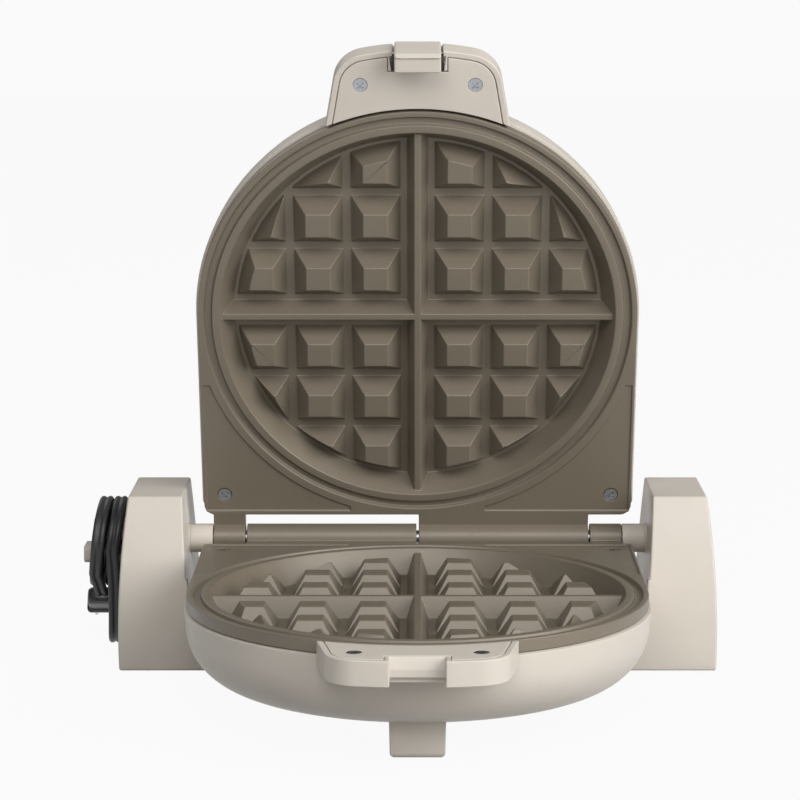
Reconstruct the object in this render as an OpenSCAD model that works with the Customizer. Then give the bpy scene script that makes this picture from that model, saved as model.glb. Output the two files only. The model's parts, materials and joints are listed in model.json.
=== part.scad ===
// Flip-type waffle maker, open for filling. Millimetres.
// Origin: on the floor, in the middle of the pad under the stand's front rail.
// +X is to the right, the front is -Y and +Z is up.
// Both cooking halves share one set of modules: they are drawn in a half frame
// whose X axis is the hinge axis, with the parting plane at z = 0, the plate
// reaching towards -Y and its housing below. The upper half is the same thing
// turned over and swung up.

/* [Waffle plates] */
// Radius of the waffle cavity at its rim
cavity_r = 100; // [92:1:108]
// Depth of the cavity below the parting plane
cavity_depth = 13; // [11:0.5:16]
// Draft angle of the cavity wall
cavity_draft = 27; // [15:1:32]
// Width of the land round the cavity
rim_land = 3.8; // [3:0.1:5]
// Width of the overflow groove
groove_w = 4.4; // [3:0.1:6]
// Depth of the overflow groove
groove_depth = 2; // [1:0.1:3]
// Width of the land outside the groove
outer_land = 2.8; // [2:0.1:4]
// Height of the plate's visible edge
skirt_h = 6.3; // [5:0.1:8]
// Thickness of the casting under the cavity
casting_t = 3; // [2.5:0.1:4]
// Distance between neighbouring waffle posts
post_pitch = 28.8; // [28:0.1:30]
// Width of a waffle post at its foot
post_base = 24.8; // [22:0.1:25.5]
// Width of a waffle post at its top
post_top = 12.1; // [10:0.1:14]
// Depth of the post tops below the parting plane
post_recess = 2; // [1:0.1:4]
// Width of the quarter rib at its foot
rib_base = 10.4; // [8:0.1:11]
// Width of the quarter rib at its crest
rib_crest = 3.2; // [2:0.1:5]
// Depth of the rib crest below the parting plane
rib_recess = 2.7; // [1:0.1:4]
// Depth of the two corner pads beside the hinge
pad_depth = 0.8; // [0.4:0.1:1.2]
// Distance of a plate screw from the plate's side
plate_screw_in = 10.7; // [9.5:0.1:12]
// Distance of a plate screw from the hinge axis
plate_screw_f = 25; // [23:0.5:30]

/* [Half housings] */
// How far the housing stands out beyond the plate edge
housing_step = 1.3; // [0.8:0.1:2]
// Wall thickness of the housings
housing_wall = 2.5; // [2:0.1:3]
// Angle that the housing's side leans inwards
housing_side_lean = 5; // [3:0.5:8]
// Depth of the housing's middle below the parting plane
housing_depth = 47.4; // [45:0.2:50]
// Radius of the housing's lower corner
housing_corner_r = 28; // [22:1:32]
// Slope of the housing's bottom
housing_crown = 3.5; // [2.5:0.5:5]
// Height of the shadow gap between plate and housing
seam_h = 0.6; // [0.4:0.1:1]
// Radius of the housing's upright corners beside the hinge
housing_back_r = 7; // [5.5:0.5:10]
// Distance of the front foot from the front of the housing
front_foot_in = 32.6; // [28:0.2:42]
// Depth of the front foot, front to back
front_foot_d = 22; // [16:1:26]
// Width of the front foot at the floor
front_foot_w = 25.4; // [20:0.2:32]

/* [Hinge] */
// Height of the hinge axis above the floor
hinge_h = 61.2; // [60:0.2:70]
// Distance from the hinge axis to the back of a housing
hinge_setback = 13; // [11:0.5:16]
// Outer radius of a knuckle
knuckle_r = 7.5; // [6.5:0.1:8.5]
// Inner end of the long knuckle
knuckle_in = 0.6; // [0.4:0.1:2]
// Length of the short knuckle
knuckle_short = 16.6; // [12:0.1:20]
// Distance of the short knuckle's outer end from the plate's side
knuckle_inset = 4.6; // [4.5:0.1:7]
// Gap between neighbouring knuckles
knuckle_gap = 0.8; // [0.4:0.1:1.5]
// Outer radius of the steel axle
axle_r = 4; // [3:0.1:4.5]
// Radius of the wiring bore through the axle
axle_bore_r = 2.5; // [1.5:0.1:2.8]
// Angle between the open plates
open_angle = 73; // [60:1:80]

/* [Handles and latch] */
// How far a handle stands out beyond the housing
handle_depth = 30.4; // [27:0.1:35]
// Half width of a handle where it leaves the housing
handle_root_w = 45.1; // [42:0.1:48]
// Half width of a handle near its end
handle_tip_w = 39.5; // [36:0.1:41]
// Corner radius of a handle
handle_corner_r = 17; // [12:1:19]
// Thickness of a handle
handle_t = 12; // [11.5:0.1:14]
// Width of the handle's border round its cover
handle_border = 3; // [2.5:0.1:4]
// Thickness of the handle's cover
cover_t = 2; // [1.6:0.1:2.5]
// Distance of a handle screw from the middle
handle_screw_x = 28; // [25:0.5:29]
// Distance from a handle screw to the end of the handle
handle_screw_in = 18; // [17:0.5:20]
// Half width of the latch notch
notch_w = 12.3; // [11.5:0.1:13]
// Depth of the latch notch from the end of the handle
notch_depth = 10; // [9.5:0.1:12]
// Side gap between the latch and its notch
latch_side_gap = 1; // [0.5:0.1:1.5]
// Thickness of the latch arm
latch_t = 3; // [2.4:0.1:3.2]
// How far the latch stands beyond the handle's end
latch_proud = 2; // [1.5:0.1:2.5]
// Length of the latch's hooked lip
latch_lip = 9.5; // [8.5:0.1:9.6]
// Thickness of the latch's hooked lip
latch_lip_t = 2.3; // [1.8:0.1:2.8]

/* [Stand] */
// Height of a tower's flat top above the hinge axis
tower_rise = 27.3; // [24:0.5:32]
// Gap between a housing and a tower's inner face at hinge height
tower_gap = 6.7; // [6.2:0.1:9]
// Distance from the middle to a tower's outer face near the floor
tower_out = 152.8; // [150:0.1:153]
// Half depth of a tower's top
tower_top_d = 28; // [24:0.5:32]
// Half depth of a tower near the floor
tower_foot_d = 47; // [44:0.5:50]
// Wall thickness of the towers
tower_wall = 2.5; // [2:0.1:3.2]
// Height of the rubber feet
foot_h = 1.4; // [1:0.1:2]
// Radius of the curve between a tower and the tie rail
gusset_r = 40; // [36:1:42]
// Height of the tie rail
rail_h = 7; // [5:0.5:8]
// Thickness of the tie rail
rail_t = 5; // [4:0.5:6]

/* [Cord wrap and cord] */
// Width of the flat twin cord
cord_w = 6.8; // [6.8:0.1:6.8]
// Thickness of the flat twin cord
cord_t = 3.4; // [3.4:0.1:3.4]
// Outer radius of the wound cord
coil_r = 24; // [24:1:24]
// Radius of the wrap's core
core_r = 13.4; // [12:0.1:13.5]

/* [Hidden] */
$fn = 96;
eps = 0.01;
big = 400;                      // reach of a cutting shape

running_gap = 0.05;             // radial play of a turning fit and of a screw in its boss
joint_gap = 0.1;                // gap between moulded pieces that are screwed together
parting_gap = 0.15;             // each plate's share of the gap between closed plates
cover_seam = 0.3;               // shadow line round a handle cover

// Plates and housings, from the cavity outwards
floor_r = cavity_r - cavity_depth * tan(cavity_draft);
groove_in = cavity_r + rim_land;
groove_out = groove_in + groove_w;
plate_r = groove_out + outer_land;
housing_r = plate_r + housing_step;
centre_f = hinge_setback + housing_r;
plate_back_f = hinge_setback + 0.5;
housing_top = skirt_h + seam_h;
ledge_out = 2;                  // the plate's ledge, measured in from the housing's outside
ledge_in = 4.8;
corner_over = housing_corner_r / cos(housing_crown) - housing_depth;
corner_c = (housing_r * cos(housing_side_lean) + (housing_top + corner_over) * sin(housing_side_lean)
    - housing_corner_r) / (cos(housing_side_lean) - tan(housing_crown) * sin(housing_side_lean));
corner_z = corner_c * tan(housing_crown) + corner_over;
corner_play = 0.15;             // keeps the upright corners clear of the sides' top edges
posts_per_side = 3;
first_post = rib_base / 2 + (post_pitch - post_base) * 0.85 + post_base / 2;
post_clip_gap = 1.8;            // from the foot of the cavity wall to a clipped post
pad_in_x = 35;
pad_side = 1.5;
pad_front_f = 88;
plate_underside = cavity_depth + casting_t;
plate_screw_x = plate_r - plate_screw_in;
knuckle_out = plate_r - knuckle_inset;
knuckle_mid = knuckle_out - knuckle_short - knuckle_gap;

// Screws
screw_r = 1.7;
screw_head_r = 3.4;
screw_head_h = 1.5;
screw_slot = 0.9;
boss_r = 4.2;
screw_drop = parting_gap + pad_depth + 0.2;
plate_screw_len = 16;
handle_screw_len = 9;
base_screw_len = 14;
screw_tip_room = 6;             // hole beyond a screw's tip
boss_reach = max(plate_screw_x, centre_f - plate_screw_f) + boss_r - corner_c;
boss_foot_z = corner_z - sqrt(housing_corner_r * housing_corner_r - boss_reach * boss_reach)
    + 0.7 * housing_wall;

// Front foot
front_foot_lean = 0.7;
foot_corner_r = 2.6;
foot_screw_z = 4;
foot_screw_grip = 8.2;          // how far the foot's screw reaches into the housing
foot_screw_len = hinge_h - housing_depth + foot_screw_grip - foot_screw_z;
front_foot_f = centre_f + housing_r - front_foot_in;
foot_mid_f = front_foot_f - front_foot_d / 2;

// Heating parts under a plate
heater_r = cavity_r - 30;
heater_tube_r = 3.25;
heater_lead = 12;
reflector_r = cavity_r - 12;
reflector_t = 0.8;
reflector_z = plate_underside + 2 * heater_tube_r + 2 * joint_gap;
post_ring_r = reflector_r - 8;
post_r = 3;
thermostat_r = 8;
thermostat_h = 12;
thermostat_x = 30;

// Handles: worked out about the plate centre, in the plan of the half frame
handle_reach = housing_r + handle_depth;
handle_root_y = housing_r - 8.6;
handle_tip_y = handle_reach - 7;
side_len = norm([handle_root_w - handle_tip_w, handle_tip_y - handle_root_y]);
side_d = [handle_tip_w - handle_root_w, handle_tip_y - handle_root_y] / side_len;
side_n = [-side_d[1], side_d[0]];
corner_reach = handle_reach - handle_corner_r;
side_p = [handle_root_w, handle_root_y] + handle_corner_r * side_n;
side_b = side_p * side_d;
handle_corner = side_p
    + (-side_b + sqrt(side_b * side_b - side_p * side_p + corner_reach * corner_reach)) * side_d;
handle_end_f = centre_f + handle_reach;
handle_start_y = 80;
handle_floor = 2.5;
notch_back_f = handle_end_f - notch_depth;
notch_step = 2.2;               // border between the notch and the cover
notch_wall = 1.4;               // wall behind the latch
notch_wall_in = 1.6;
handle_screw_f = handle_end_f - handle_screw_in;
cover_under = parting_gap + cover_t;
cover_notch_w = notch_w + notch_step;
cover_notch_f = notch_back_f - 1;
nose_out = 2.2;                 // how far the catch nose stands out into the notch
nose_drop = 9.6;                // depth of the catch's underside

// Latch: its pin lies in the lid handle's notch
latch_w = notch_w - latch_side_gap;
latch_play = 0.7;               // gap under the nose, so that the lip can swing in
latch_end_f = handle_end_f + latch_proud;
latch_reach = nose_drop + latch_play + latch_lip_t;
latch_back = 8;
latch_pin_r = 1.1;
latch_pin_f = latch_end_f - latch_t - 2.9;
latch_pin_z = 6;
latch_knuckle_r = 2.6;
latch_knuckle_w = 6.6;
latch_pin_w = notch_w + 3.5;

// Stand
tower_top = hinge_h + tower_rise;
tower_front_cz = 10;
tower_front_drop = tower_top - tower_front_cz;
tower_front_in = tower_foot_d - tower_top_d;
tower_front_r = (tower_front_in * tower_front_in + tower_front_drop * tower_front_drop)
    / (2 * tower_front_in);
tower_side_cz = 20;
tower_side_in = 4.3;            // how far the outer face leans in at the top
tower_side_drop = tower_top - tower_side_cz;
tower_side_r = (tower_side_in * tower_side_in + tower_side_drop * tower_side_drop)
    / (2 * tower_side_in);
tower_in = housing_r + tower_gap;
tower_in_top = tower_in + 1.5;
tower_in_low = tower_in - 1.7;
tower_low_z = 31;
gusset_end = tower_in_low - gusset_r;
gusset_z = foot_h + rail_h + gusset_r;
rail_front = tower_foot_d - 0.3;
rail_mid_f = rail_front - rail_t / 2;
rail_pad = [30, 2.8];           // width and depth of the pad under the rail
tower_mid = (tower_in + tower_out) / 2;
base_plate_t = 2.5;
base_boss_f = 34;
base_boss_h = 22;
foot_r = 7;
foot_f = 22;
foot_stud_r = 2.2;
sleeve_in = knuckle_out + 0.4;
bushing_in = tower_in - 0.6;
bushing_out = tower_in + tower_wall + 0.2;
bushing_r = knuckle_r + 0.2;
axle_boss_out = tower_in + tower_wall + 8.5;
axle_half = axle_boss_out + 3;
clip_t = 1.2;
dowel_r = 1.5;
dowel_half = 9;
terminal_w = (tower_out - tower_in) / 2 - 0.9;
terminal_d = 18;
terminal_h = 12;

// Cord wrap: prongs on the outer side of the left tower
wrap_z = hinge_h - 2;
wrap_seat_x = tower_out - 2.9;
wrap_flange_r = 16;
wrap_flange_out = tower_out - 0.2;
coil_in_x = tower_out + 0.4;
coil_out_x = coil_in_x + 2 * cord_w;
wrap_end_x = tower_out + 15.8;
wrap_knob_x = wrap_end_x + 5.3;
wrap_slot = 8.4;
wrap_tab = [9, 17];             // height and length of the retaining tab
wrap_tab_drop = 5.3;

// Cord route, as [x, y, z] along the middle of the cord. The supply end lies
// along the tower's outer side and turns up into the front of the coil; the
// other end comes down from the coil into the plug.
run_points = [[-157.8, 24, 10.5], [-157.8, 17, 10.5], [-157.8, 10, 10.5], [-157.7, 3, 10.6],
    [-157.4, -4, 10.7], [-157.1, -10.2, 11], [-156.9, -14.8, 12.2], [-156.7, -18.6, 14.9],
    [-156.6, -21.2, 19], [-156.6, -22.2, 24.5], [-156.6, -22.3, 30], [-156.6, -22.3, 36.5],
    [-156.6, -22.3, 43], [-156.6, -22.3, 49.5], [-156.6, -22.3, 56]];
tail_points = [[-163.6, -22.3, 56], [-163.8, -21.9, 50.5], [-164, -20.5, 45.2],
    [-164.2, -18, 40.5], [-164.3, -15.3, 37.1], [-164.3, -13, 35.18], [-164.3, -10.3, 33.8]];
relief_z = 10.5;
relief_x = 157.8;
relief_len = 22;
relief_y = 24;
relief_neck_r = 4;

plug_turn = 27;                 // how far the plug's blades point below level, to the rear
plug_at = [-164.3, -10.3, 33.8];
plug_len = 19;
plug_w = 19.2;
plug_h = 11.5;
plug_edge = 1.2;                // how far the flange stands out round the body
plug_shoulder = 5;
plug_flange = 3;
blade_len = 16;
blade_w = 6.3;
blade_t = 1.5;
blade_pitch = 12.7;

plate_colour = "#70685c";
shell_colour = "#c9beb3";
steel_colour = "#b9bbbd";
black_colour = "#1c1c1d";
rubber_colour = "#2a2a2a";

// ---------- helpers ----------

function unit(v) = v / norm(v);

// Where a corner's rounding starts, towards the point q
function tangent(p, q, other, r) =
    let (u = unit(q - p), v = unit(other - p), half = acos(u * v) / 2)
    p + u * r / tan(half);

function round_centre(p, a, b, r) =
    let (u = unit(a - p), v = unit(b - p), half = acos(u * v) / 2)
    p + unit(u + v) * r / sin(half);

// A convex outline whose corners have the radii in rs, as true arcs
module rounded_outline(pts, rs) {
    n = len(pts);
    polygon([for (i = [0:n - 1])
        let (p = pts[i], a = pts[(i + n - 1) % n], b = pts[(i + 1) % n], r = rs[i])
        each r > 0 ? [tangent(p, a, b, r), round_centre(p, a, b, r), tangent(p, b, a, r)] : [p]]);
    for (i = [0:n - 1])
        if (rs[i] > 0)
            translate(round_centre(pts[i], pts[(i + n - 1) % n], pts[(i + 1) % n], rs[i]))
                circle(r = rs[i]);
}

module rounded_box(size, r) {
    translate([-size[0] / 2, -size[1] / 2, 0])
        linear_extrude(size[2])
            rounded_outline([[0, 0], [size[0], 0], [size[0], size[1]], [0, size[1]]],
                [r, r, r, r]);
}

// A cylinder along X between x0 and x1
module bar(r, x0, x1) {
    translate([x0, 0, 0]) rotate([0, 90, 0]) cylinder(r = r, h = x1 - x0);
}

// An outline of [forward, up] points, drawn out sideways between x0 and x1
module side_extrude(x0, x1) {
    translate([x0, 0, 0]) rotate([90, 0, 90]) linear_extrude(x1 - x0) mirror([1, 0]) children();
}

// An outline of [x, z] points, drawn out forwards between the distances f0 and f1
module front_extrude(f0, f1) {
    translate([0, -f0, 0]) rotate([90, 0, 0]) linear_extrude(f1 - f0) children();
}

module both_sides() {
    children();
    mirror([1, 0, 0]) children();
}

// Places a child in the lower or the upper half
module in_lower() {
    translate([0, 0, hinge_h]) children();
}

module in_lid() {
    translate([0, 0, hinge_h]) rotate([-open_angle, 0, 0]) rotate([0, 180, 0]) children();
}

module at_centre() {
    translate([0, -centre_f, 0]) children();
}

// ---------- screws ----------

// A pan-head screw whose head's top is at z = 0, with a cross recess
module screw(length) {
    difference() {
        union() {
            translate([0, 0, -screw_head_h]) cylinder(r = screw_head_r, h = screw_head_h);
            translate([0, 0, -length]) cylinder(r = screw_r, h = length - screw_head_h + eps);
        }
        for (turn = [45, 135])
            rotate([0, 0, turn])
                translate([-screw_head_r * 0.6, -screw_slot / 2, -screw_head_h * 0.6])
                    cube([screw_head_r * 1.2, screw_slot, screw_head_h]);
    }
}

// ---------- plates ----------

// The plan of a half: a circle with straight sides back to the hinge
module plan_outline(r, back_f, corner) {
    at = -centre_f;
    translate([0, at]) circle(r = r, $fn = 120);
    rounded_outline([[-r, at], [r, at], [r, -back_f], [-r, -back_f]], [0, 0, corner, corner]);
}

// Trapezoid ridges along Y whose tops and feet have the post's widths
module ridge_row() {
    for (side = [-1, 1], i = [0:posts_per_side - 1])
        translate([side * (first_post + i * post_pitch), 0, 0])
            front_extrude(-big / 2, big / 2)
                polygon([[-post_base / 2, -cavity_depth - eps], [post_base / 2, -cavity_depth - eps],
                    [post_top / 2, -post_recess], [-post_top / 2, -post_recess]]);
}

module posts() {
    intersection() {
        ridge_row();
        rotate([0, 0, 90]) ridge_row();
        translate([0, 0, -cavity_depth - eps])
            cylinder(r1 = floor_r - post_clip_gap,
                r2 = floor_r - post_clip_gap - (cavity_depth - post_recess) * tan(cavity_draft),
                h = cavity_depth - post_recess + 2 * eps);
    }
}

module quarter_ribs() {
    intersection() {
        for (turn = [0, 90])
            rotate([0, 0, turn])
                front_extrude(-cavity_r, cavity_r)
                    polygon([[-rib_base / 2, -cavity_depth - eps], [rib_base / 2, -cavity_depth - eps],
                        [rib_crest / 2, -rib_recess], [-rib_crest / 2, -rib_recess]]);
        translate([0, 0, -cavity_depth - eps]) cylinder(r = cavity_r + 1, h = cavity_depth);
    }
}

module cavity_cut() {
    translate([0, 0, -cavity_depth])
        cylinder(r1 = floor_r, r2 = cavity_r, h = cavity_depth, $fn = 180);
}

module corner_pads() {
    translate([0, 0, -parting_gap - pad_depth])
        linear_extrude(1 + pad_depth)
            difference() {
                for (side = [0, 1])
                    mirror([side, 0])
                        translate([pad_in_x, -pad_front_f])
                            square([plate_r - pad_side - pad_in_x, pad_front_f - plate_back_f - 2.5]);
                translate([0, -centre_f]) circle(r = plate_r + 1.5, $fn = 180);
            }
}

module knuckle(x0, x1) {
    bar(knuckle_r, x0, x1);
    translate([x0, -plate_back_f - 2, -skirt_h]) cube([x1 - x0, plate_back_f + 2, skirt_h - parting_gap]);
}

module at_plate_screws() {
    for (side = [-1, 1])
        translate([side * plate_screw_x, -plate_screw_f, 0]) children();
}

module grid_plate() {
    color(plate_colour)
    difference() {
        union() {
            difference() {
                union() {
                    translate([0, 0, -skirt_h])
                        linear_extrude(skirt_h - parting_gap)
                            plan_outline(plate_r, plate_back_f, housing_back_r - housing_step);
                    at_centre() translate([0, 0, -plate_underside])
                        cylinder(r1 = floor_r + casting_t, r2 = cavity_r + casting_t,
                            h = plate_underside - skirt_h + eps);
                }
                at_centre() cavity_cut();
                at_centre() translate([0, 0, -parting_gap - groove_depth])
                    difference() {
                        cylinder(r1 = groove_out - 0.6, r2 = groove_out, h = groove_depth + eps, $fn = 180);
                        translate([0, 0, -eps])
                            cylinder(r1 = groove_in + 0.6, r2 = groove_in, h = groove_depth + 3 * eps, $fn = 180);
                    }
                corner_pads();
            }
            at_centre() posts();
            at_centre() quarter_ribs();
            knuckle(-knuckle_mid, -knuckle_in);
            knuckle(knuckle_mid + knuckle_gap, knuckle_out);
        }
        bar(axle_r + running_gap, -big, big);
        at_plate_screws() {
            translate([0, 0, -skirt_h - 1]) cylinder(r = screw_r + running_gap, h = skirt_h + 2);
            translate([0, 0, -screw_drop - screw_head_h]) cylinder(r = screw_head_r + 0.25, h = 10);
        }
    }
}

// ---------- housings ----------

// Half the section of a housing: radius across, height up, moved in by inset
module housing_profile(inset) {
    lean = tan(housing_side_lean);
    slope = tan(housing_crown);
    side = housing_r - inset / cos(housing_side_lean);
    floor_z = inset / cos(housing_crown) - housing_depth;
    low_z = (floor_z + (side + housing_top * lean) * slope) / (1 - lean * slope);
    intersection() {
        rounded_outline([[0, -housing_top], [side, -housing_top],
            [side + (low_z + housing_top) * lean, low_z], [0, floor_z]],
            [0, 0, housing_corner_r - inset, 0]);
        translate([0, -big - housing_top]) square([big, big]);
    }
}

module full_profile(inset) {
    housing_profile(inset);
    mirror([1, 0]) housing_profile(inset);
}

// The whole housing as a solid block, moved in by inset on every side
module housing_solid(inset) {
    at_centre() rotate([0, 0, 180]) rotate_extrude(angle = 180, $fn = 120) housing_profile(inset);
    intersection() {
        front_extrude(hinge_setback - 1, centre_f) full_profile(inset);
        at_centre() rotate([0, 0, 90]) front_extrude(-big / 2, big / 2) housing_profile(inset);
        translate([0, 0, -big]) linear_extrude(big)
            plan_outline(housing_r - inset + corner_play, hinge_setback + inset - corner_play,
                housing_back_r - inset + corner_play);
    }
}

module housing_shell() {
    difference() {
        union() {
            housing_solid(0);
            translate([0, 0, -housing_top - 2]) linear_extrude(2 + seam_h) ledge_outline();
        }
        difference() {
            housing_solid(housing_wall);
            translate([0, 0, -housing_top - 3]) linear_extrude(3 + seam_h + 1) ledge_outline();
        }
    }
}

// The inner lip that the plate rests on
module ledge_outline() {
    difference() {
        plan_outline(housing_r - ledge_out, hinge_setback + ledge_out, housing_back_r - ledge_out);
        plan_outline(housing_r - ledge_in, hinge_setback + ledge_in, housing_back_r - ledge_in);
    }
}

module housing() {
    color(shell_colour)
    difference() {
        union() {
            housing_shell();
            at_plate_screws() translate([0, 0, boss_foot_z]) cylinder(r = boss_r, h = -boss_foot_z - skirt_h);
            // Posts that hold up the reflector: the rear ones stand in the straight part
            at_centre() {
                for (turn = [225, 315]) rotate([0, 0, turn]) reflector_post(post_ring_r);
                for (turn = [45, 135]) rotate([0, 0, turn]) reflector_post(post_ring_r * cos(turn));
            }
        }
        at_plate_screws() translate([0, 0, -plate_screw_len - screw_tip_room])
            cylinder(r = screw_r + running_gap, h = plate_screw_len + screw_tip_room);
        foot_screw_holes();
    }
}

// A post from the middle of the bottom's thickness, where the section reaches
// the given distance from the middle
module reflector_post(reach) {
    foot_z = corner_z - (housing_corner_r - housing_wall / 2) * cos(housing_crown)
        - (corner_c - abs(reach)) * tan(housing_crown);
    translate([post_ring_r, 0, foot_z]) rotate([0, 0, 30])
        cylinder(r = post_r, h = -foot_z - reflector_z - reflector_t - joint_gap);
}

// ---------- front foot ----------

module foot_block() {
    half = front_foot_w / 2;
    top = corner_z - housing_corner_r / 2;
    rear_f = front_foot_f - front_foot_d;
    intersection() {
        front_extrude(rear_f, front_foot_f)
            rounded_outline([[-half, -hinge_h], [half, -hinge_h], [half + front_foot_lean, top],
                [-half - front_foot_lean, top]], [foot_corner_r, foot_corner_r, 0, 0]);
        side_extrude(-big / 2, big / 2)
            rounded_outline([[rear_f, -hinge_h], [front_foot_f, -hinge_h],
                [front_foot_f, top], [rear_f, top]], [foot_corner_r, foot_corner_r, 0, 0]);
    }
}

module foot_screw_holes() {
    translate([0, -foot_mid_f, -hinge_h])
        cylinder(r = screw_r + running_gap, h = foot_screw_z + foot_screw_len + 2);
}

module front_foot() {
    color(shell_colour)
    difference() {
        foot_block();
        housing_solid(-joint_gap / 2);
        foot_screw_holes();
        translate([0, -foot_mid_f, -hinge_h - 1])
            cylinder(r = screw_head_r + joint_gap, h = foot_screw_z + screw_head_h + joint_gap + 1);
    }
}

// ---------- handles ----------

// The handle's plan about the plate centre, moved in by inset, with forward as +Y
module handle_plan(inset) {
    root = [handle_root_w, handle_root_y] + inset * side_n
        - (handle_root_y - handle_start_y) / side_d[1] * side_d;
    t1 = handle_corner - (handle_corner_r - inset) * side_n;
    t2 = unit(handle_corner) * (handle_reach - inset);
    polygon([[-root[0], root[1]], [root[0], root[1]], t1, handle_corner, [-handle_corner[0], handle_corner[1]],
        [-t1[0], t1[1]]]);
    for (side = [-1, 1])
        translate([side * handle_corner[0], handle_corner[1]]) circle(r = handle_corner_r - inset);
    intersection() {
        circle(r = handle_reach - inset, $fn = 180);
        polygon([[0, 0], 1.2 * t2, [-1.2 * t2[0], 1.2 * t2[1]]]);
    }
}

module handle_block(inset, z0, z1, inner_r) {
    translate([0, 0, z0])
        linear_extrude(z1 - z0)
            difference() {
                translate([0, -centre_f]) mirror([0, 1]) handle_plan(inset);
                translate([0, -centre_f]) circle(r = inner_r, $fn = 180);
            }
}

module notch_block(half, back_f, z0, z1) {
    translate([-half, -big, z0]) cube([2 * half, big - back_f, z1 - z0]);
}

module at_handle_screws() {
    for (side = [-1, 1])
        translate([side * handle_screw_x, -handle_screw_f, 0]) children();
}

module handle_shell() {
    difference() {
        handle_block(0, -handle_t, -parting_gap, housing_r + joint_gap);
        // Seat of the cover
        difference() {
            handle_block(handle_border, -cover_under, 1, 0);
            notch_block(cover_notch_w, cover_notch_f, -big, big);
        }
        // Hollow under the cover
        difference() {
            handle_block(handle_border + 1.5, -handle_t + handle_floor, -cover_under + eps, housing_r + 3);
            notch_block(cover_notch_w + 1.5, cover_notch_f - 1.5, -big, big);
            at_handle_screws() translate([0, 0, -handle_t]) cylinder(r = boss_r, h = handle_t);
        }
        notch_block(notch_w, notch_back_f, -big, big);
        at_handle_screws() translate([0, 0, -handle_t + 1.5]) cylinder(r = screw_r + running_gap, h = handle_t);
    }
}

module lower_handle_shape() {
    handle_shell();
    catch_nose();
}

// The nose that the latch's lip hooks under
module catch_nose() {
    back = notch_back_f - 1;
    side_extrude(-notch_w - 1, notch_w + 1)
        rounded_outline([[back, -nose_drop], [notch_back_f + nose_out, -nose_drop],
            [notch_back_f + nose_out, -nose_drop + 4], [notch_back_f + 0.2, -parting_gap],
            [back, -parting_gap]], [0, 1, 2.5, 0, 0]);
}

module lid_handle_shape() {
    difference() {
        handle_shell();
        translate([0, -latch_pin_f, -latch_pin_z])
            bar(latch_pin_r + running_gap, -latch_pin_w, latch_pin_w);
    }
    // Wall behind the latch
    translate([-notch_w - 0.5, -handle_end_f + notch_wall_in, -handle_t + 0.2])
        cube([2 * notch_w + 1, notch_depth - notch_wall_in + 0.5, notch_wall]);
}

module handle_cover() {
    color(shell_colour)
    difference() {
        handle_block(handle_border + cover_seam, -cover_under + eps, -parting_gap, housing_r + joint_gap);
        notch_block(cover_notch_w + cover_seam, cover_notch_f - cover_seam, -big, big);
        at_handle_screws() {
            translate([0, 0, -big / 2]) cylinder(r = screw_r + running_gap, h = big);
            translate([0, 0, -parting_gap - screw_head_h - 0.1]) cylinder(r = screw_head_r + 0.1, h = 5);
        }
    }
}

module half_screws() {
    color(steel_colour) {
        at_plate_screws() translate([0, 0, -screw_drop]) screw(plate_screw_len);
        at_handle_screws() translate([0, 0, -parting_gap - 0.1]) screw(handle_screw_len);
        translate([0, -foot_mid_f, -hinge_h + foot_screw_z]) rotate([180, 0, 0])
            screw(foot_screw_len);
    }
}

// ---------- heating parts ----------

module heater() {
    color("#6b6f73")
    at_centre() translate([0, 0, -plate_underside - heater_tube_r - joint_gap]) {
        rotate([0, 0, 285]) rotate_extrude(angle = 330) translate([heater_r, 0]) circle(r = heater_tube_r);
        for (turn = [285, 255])
            rotate([0, 0, turn]) translate([heater_r, 0, -heater_lead])
                cylinder(r = heater_tube_r - 0.8, h = heater_lead);
    }
}

module reflector() {
    color("#a9abad")
    at_centre() difference() {
        union() {
            translate([0, 0, -reflector_z - reflector_t]) cylinder(r = reflector_r, h = reflector_t);
            translate([0, 0, -reflector_z - reflector_t])
                difference() {
                    cylinder(r = reflector_r, h = reflector_z - plate_underside + reflector_t - joint_gap);
                    translate([0, 0, -1]) cylinder(r = reflector_r - reflector_t, h = reflector_z);
                }
        }
        translate([thermostat_x, 0, -big]) cylinder(r = thermostat_r + 0.5, h = big);
        for (turn = [285, 255])
            rotate([0, 0, turn]) translate([heater_r, 0, -big]) cylinder(r = heater_tube_r, h = big);
    }
}

module thermostat() {
    color("#d8d4cc")
    at_centre() translate([thermostat_x, 0, 0]) {
        translate([0, 0, -plate_underside - thermostat_h - joint_gap]) cylinder(r = thermostat_r, h = thermostat_h);
        for (side = [-1, 1])
            translate([side * 4 - 0.4, -3, -plate_underside - thermostat_h - joint_gap - 5]) cube([0.8, 6, 5 + eps]);
    }
}

// ---------- latch ----------

module latch_section() {
    inner_f = latch_end_f - latch_t;
    rounded_outline([[inner_f, latch_back], [latch_end_f, latch_back], [latch_end_f, -latch_reach],
        [inner_f, -latch_reach]], [1, 1.2, 2.2, 0]);
    rounded_outline([[latch_end_f - latch_lip, -latch_reach], [latch_end_f - 1.5, -latch_reach],
        [latch_end_f - 1.5, -latch_reach + latch_lip_t], [latch_end_f - latch_lip, -latch_reach + latch_lip_t]],
        [0.9, 0, 0, 0.6]);
}

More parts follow.
